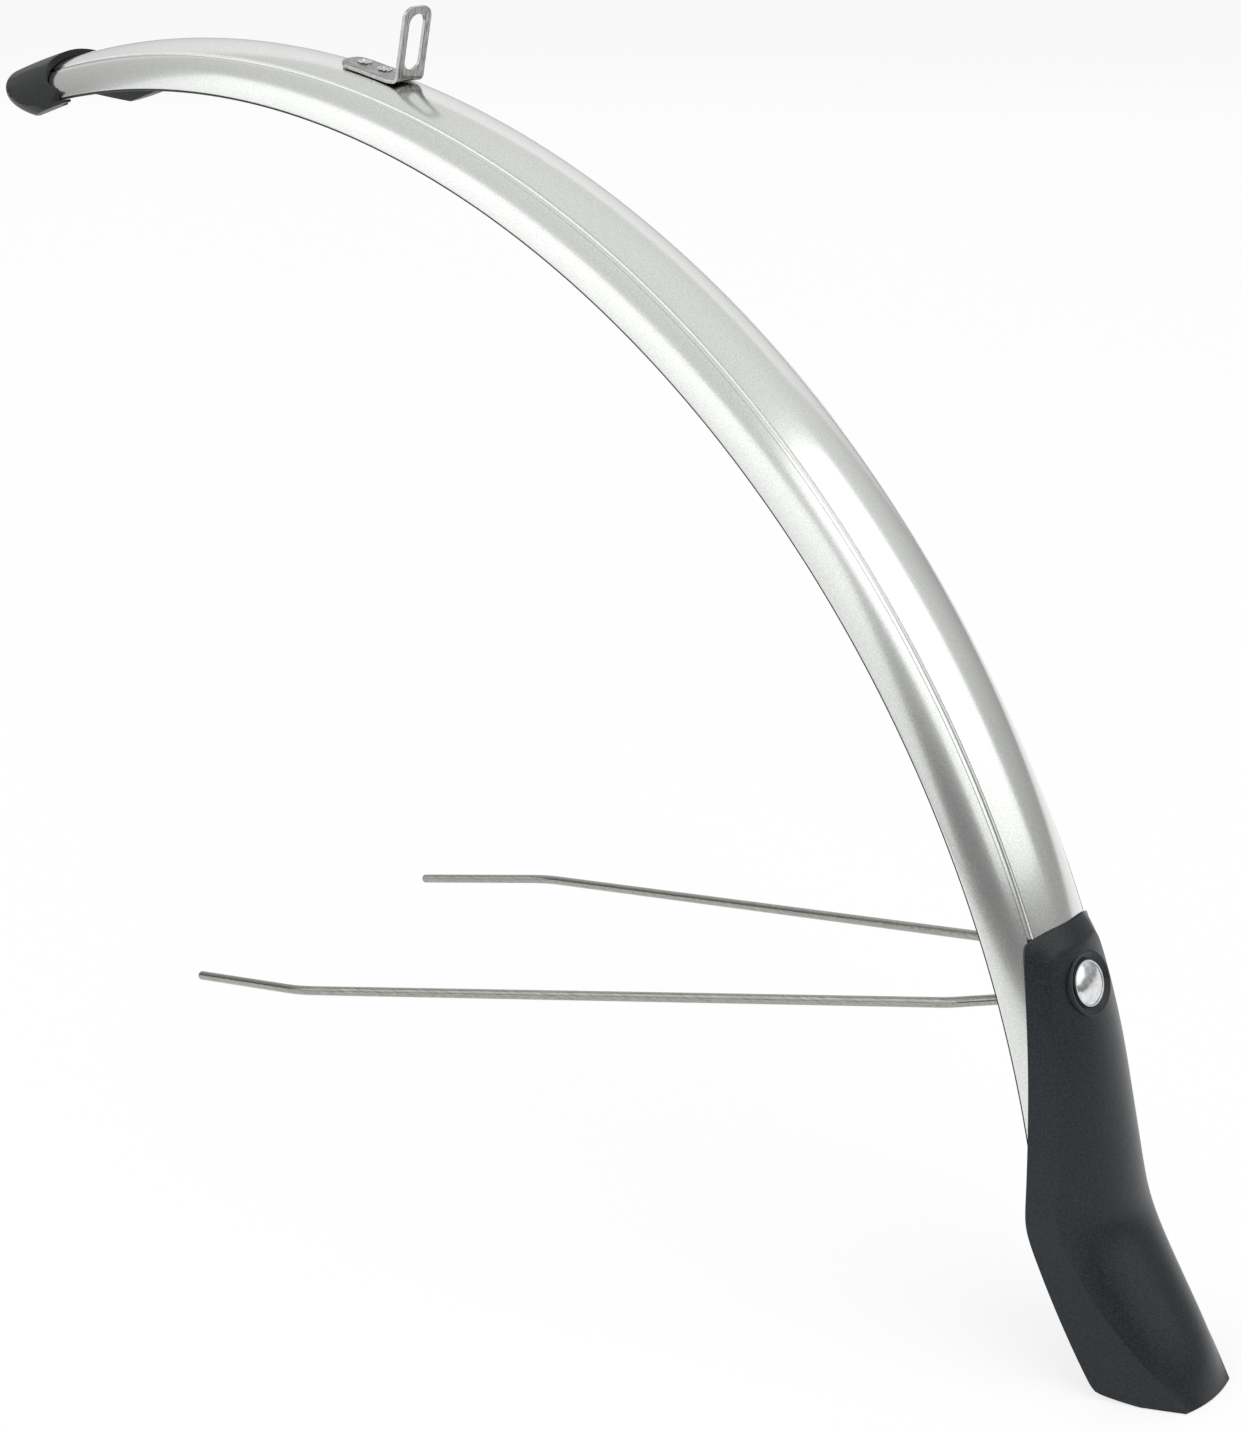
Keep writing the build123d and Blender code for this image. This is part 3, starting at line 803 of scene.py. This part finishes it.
# Width of each ring of the dome, from the rim inwards, and its rise.
dome_steps = (
    (0.0006, 0.00050),
    (0.0010, 0.00040),
    (0.0012, 0.00028),
    (0.0014, 0.00018),
    (0.0014, 0.00006),
)
bpy.ops.object.select_all(action="DESELECT")
bpy.ops.mesh.primitive_cylinder_add(
    vertices=seat_points,
    radius=badge_radius,
    depth=badge_edge,
    location=(0, 0, seat_floor + badge_edge / 2),
)
badge = bpy.context.object
badge.name = "domed_badge"
bpy.ops.object.transform_apply(location=True, rotation=True, scale=True)
edit(badge)
pick(badge, "FACE", lambda p: p.z > seat_floor + badge_edge - near)
bpy.ops.mesh.inset(thickness=badge_rim)
bpy.ops.mesh.extrude_region_move(TRANSFORM_OT_translate={"value": (0, 0, -badge_sink)})
for inset, lift in dome_steps:
    bpy.ops.mesh.inset(thickness=inset)
    bpy.ops.transform.translate(value=(0, 0, lift))
close_edit()
round_edges(badge, badge_round, segments=3, above=40)
settle(badge, pocket)
smooth(badge, 40)
chrome, tree, shader, place = new_material("badge_chrome", {"Metallic": 1.0})
swirl = noise(tree, place, 700, detail=3.0)
tint(tree, shader, swirl, (0.60, 0.61, 0.62), (0.84, 0.84, 0.85))
polish(tree, shader, swirl, 0.10, 0.24)
bump(tree, shader, swirl, 0.15, grain_height)
dress(badge, chrome)
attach(badge, "root")
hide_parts("flap_badge")

# Floor: one wide sheet of white paper that the flap's lower edge stands on. The camera and the
# bright pieces see it as white, with the object's shadow on it.
floor_size = 30
floor_gap = 0.0002
paper_tone = 0.82
shade_tone = 0.27
glow_strength = 0.745
bpy.ops.object.select_all(action="DESELECT")
bpy.ops.mesh.primitive_plane_add(size=floor_size, location=(0, 0, cad_box[0].z - floor_gap))
floor = bpy.context.object
floor.name = "floor"
bpy.ops.object.transform_apply(location=True, rotation=True, scale=True)
white = bpy.data.materials.new("floor_white")
white.use_nodes = True
tree = white.node_tree
tree.nodes.remove(tree.nodes["Principled BSDF"])
paper = tree.nodes.new("ShaderNodeBsdfDiffuse")
paper.inputs["Color"].default_value = (paper_tone, paper_tone, paper_tone, 1)
shaded = tree.nodes.new("ShaderNodeBsdfDiffuse")
shaded.inputs["Color"].default_value = (shade_tone, shade_tone, shade_tone, 1)
glow = tree.nodes.new("ShaderNodeEmission")
glow.inputs["Strength"].default_value = glow_strength
lit = tree.nodes.new("ShaderNodeAddShader")
tree.links.new(shaded.outputs["BSDF"], lit.inputs[0])
tree.links.new(glow.outputs["Emission"], lit.inputs[1])
path = tree.nodes.new("ShaderNodeLightPath")
seen = path.outputs["Is Camera Ray"]
for kind in ("Is Glossy Ray", "Is Transmission Ray"):
    either = tree.nodes.new("ShaderNodeMath")
    either.operation = "MAXIMUM"
    tree.links.new(seen, either.inputs[0])
    tree.links.new(path.outputs[kind], either.inputs[1])
    seen = either.outputs["Value"]
choice = tree.nodes.new("ShaderNodeMixShader")
tree.links.new(seen, choice.inputs["Fac"])
tree.links.new(paper.outputs["BSDF"], choice.inputs[1])
tree.links.new(lit.outputs["Shader"], choice.inputs[2])
tree.links.new(choice.outputs["Shader"], tree.nodes["Material Output"].inputs["Surface"])
dress(floor, white)

# Studio light: three soft boxes round the object, in a room that is paler overhead than at the
# sides, and a little paler behind the object than in front of it.
far_share = 0.2
# Level and tone: first at the sides and overhead, then between them.
room_tones = ((0.0, 0.21), (1.0, 0.88), (0.12, 0.26), (0.35, 0.48), (0.70, 0.74))
world = bpy.data.worlds.new("studio")
bpy.context.scene.world = world
world.use_nodes = True
tree = world.node_tree
direction = tree.nodes.new("ShaderNodeTexCoord")
axes = tree.nodes.new("ShaderNodeSeparateXYZ")
tree.links.new(direction.outputs["Generated"], axes.inputs["Vector"])
level = tree.nodes.new("ShaderNodeMath")
level.operation = "MULTIPLY_ADD"
level.inputs[1].default_value = far_share
tree.links.new(axes.outputs["Y"], level.inputs[0])
tree.links.new(axes.outputs["Z"], level.inputs[2])
room_stops = [(position, (tone, tone, tone)) for position, tone in room_tones]
room = ramp(tree, level.outputs["Value"], *room_stops)
tree.links.new(room, tree.nodes["Background"].inputs["Color"])
middle = (cad_box[0] + cad_box[1]) / 2


def soft_box(name, azimuth, height, distance, size, brightness):
    """A rectangular lamp seen from the object at this azimuth and height, with this radiance."""
    turn, rise = radians(azimuth), radians(height)
    towards = Vector((sin(turn) * cos(rise), -cos(turn) * cos(rise), sin(rise)))
    light = bpy.data.lights.new(name, "AREA")
    light.shape = "RECTANGLE"
    light.size, light.size_y = size
    light.energy = brightness * pi * size[0] * size[1]
    lamp = bpy.data.objects.new(name, light)
    bpy.context.scene.collection.objects.link(lamp)
    lamp.location = middle + towards * distance
    lamp.rotation_euler = towards.to_track_quat("Z", "Y").to_euler()
    lamp.visible_camera = False


soft_box("left_box", azimuth=-18, height=28, distance=1.9, size=(3.6, 1.9), brightness=0.75)
soft_box("right_box", azimuth=90, height=39, distance=2.0, size=(2.5, 1.8), brightness=0.82)
soft_box("back_box", azimuth=-140, height=24, distance=2.2, size=(3.2, 1.5), brightness=0.27)

# Camera: it stands where the photograph was taken from, measured from the wheel's centre, with the
# photograph's own focal length in pixels.
focal_pixels = 2884
photo_height = 1432
lens = bpy.data.cameras.new("camera")
lens.sensor_width = 36
lens.lens = focal_pixels / photo_height * lens.sensor_width
lens.clip_start = 0.01
camera = bpy.data.objects.new("camera", lens)
bpy.context.scene.collection.objects.link(camera)
stand = wheel + Vector((0.7450, -0.6538, 0.5052))
right = Vector((0.7454, 0.6667, 0.0))
up = Vector((-0.2416, 0.2702, 0.9320))
camera.matrix_world = axes_at(stand, right, up, right.cross(up))
bpy.context.scene.camera = camera
bpy.context.scene.view_settings.view_transform = "Standard"
